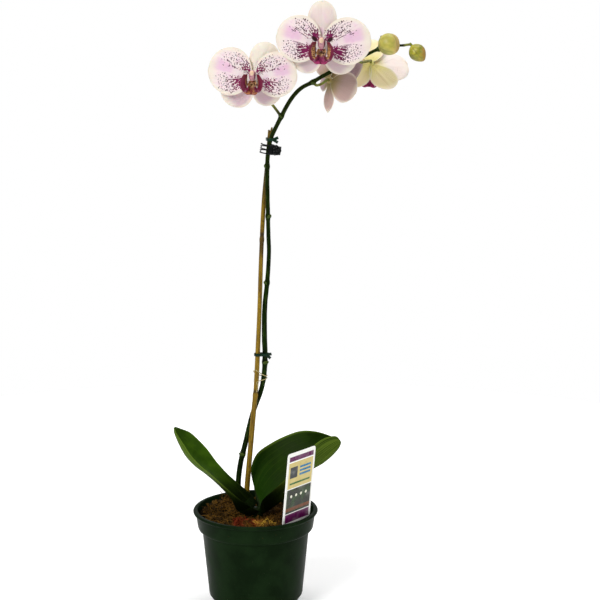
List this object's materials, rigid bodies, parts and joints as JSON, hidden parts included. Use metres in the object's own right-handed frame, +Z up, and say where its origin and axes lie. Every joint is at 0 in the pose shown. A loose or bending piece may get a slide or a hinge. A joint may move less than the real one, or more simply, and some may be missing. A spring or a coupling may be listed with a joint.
{
  "type": "potted moth orchid",
  "caption": "Moth orchid in a round nursery pot, with an arching flower spray tied and clipped to a bamboo cane, two broad leaves and a plain plant label.",
  "frame": {"origin": "centre of the pot's underside, on the ground", "axes": "+Z up, -Y towards the viewer whom the open blooms face, +X to the side that the spray arches over"},
  "size_m": [0.2553, 0.131, 0.6289],
  "materials": {
    "pot_plastic": "dark green moulded plastic, satin",
    "moss": "damp moss and bark, matt",
    "leaf": "thick leaf with a waxy sheen",
    "spike": "smooth green stem",
    "bamboo": "dry bamboo, satin",
    "sepal": "soft petal, faint sheen",
    "petal": "soft petal with magenta spots, faint sheen",
    "lip": "crimson and magenta petal, faint sheen",
    "column": "waxy lilac and cream",
    "bud": "yellow-green, waxy",
    "tie_plastic": "green plastic tape",
    "fibre": "dry cream fibre",
    "clip_plastic": "near-black moulded plastic",
    "clip_steel": "bright wire",
    "label_plastic": "printed white card, glossy"
  },
  "bodies": {
    "plant": {"nursery_pot": "pot_plastic", "moss": "moss", "crown": "leaf", "leaf_left": "leaf", "leaf_right": "leaf", "flower_spike": "spike", "bamboo_cane": "bamboo", "bloom_1_sepals": "sepal", "bloom_1_petals": "petal", "bloom_1_lip": "lip", "bloom_1_column": "column", "bloom_2_sepals": "sepal", "bloom_2_petals": "petal", "bloom_2_lip": "lip", "bloom_2_column": "column", "bloom_3_sepals": "sepal", "bloom_3_petals": "petal", "bloom_3_lip": "lip", "bloom_3_column": "column", "bloom_4_sepals": "sepal", "bloom_4_petals": "petal", "bloom_4_lip": "lip", "bloom_4_column": "column", "bud_large": "bud", "bud_small": "bud", "tie_lower": "tie_plastic", "tie_upper": "tie_plastic", "fibre_tie": "fibre", "clip_jaw_back": "clip_plastic", "clip_pin": "clip_steel", "clip_spring": "clip_steel", "plant_label": "label_plastic"},
    "clip_jaw": {"clip_jaw_front": "clip_plastic"}
  },
  "joints": [
    {"name": "clip_hinge", "type": "hinge", "parent": "plant", "child": "clip_jaw", "pos_m": [0.0221, 0.0034, 0.48], "axis": [0.1564, 0, 0.9877], "range_deg": [0, 30], "stiffness_Nm_per_rad": 0.002, "springref_deg": -28.65}
  ]
}
